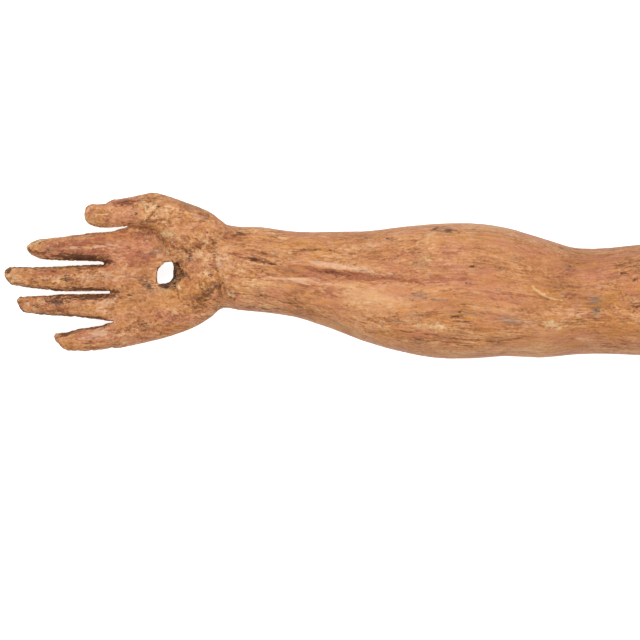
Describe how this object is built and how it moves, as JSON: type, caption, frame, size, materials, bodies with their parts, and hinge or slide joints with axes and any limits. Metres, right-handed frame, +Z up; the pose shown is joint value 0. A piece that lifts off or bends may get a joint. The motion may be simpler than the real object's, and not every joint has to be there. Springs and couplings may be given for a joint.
{
  "type": "carved corpus arm",
  "caption": "Right arm of a life-size carved wooden corpus: open hand with a nail hole through the palm, forearm and upper arm, ending in a flat shoulder joint.",
  "frame": {"origin": "middle of the arm's outline as it lies, on the surface that it lies on", "axes": "+X along the arm towards the shoulder, +Y towards the thumb side, +Z up out of the palm"},
  "size_m": [0.6967, 0.1359, 0.1007],
  "materials": {
    "weathered_wood": "old waxed wood with the remains of a reddish wash and of cream gesso, worn, pitted and checked along the grain"
  },
  "bodies": {
    "root": {"arm": "weathered_wood"}
  },
  "joints": []
}
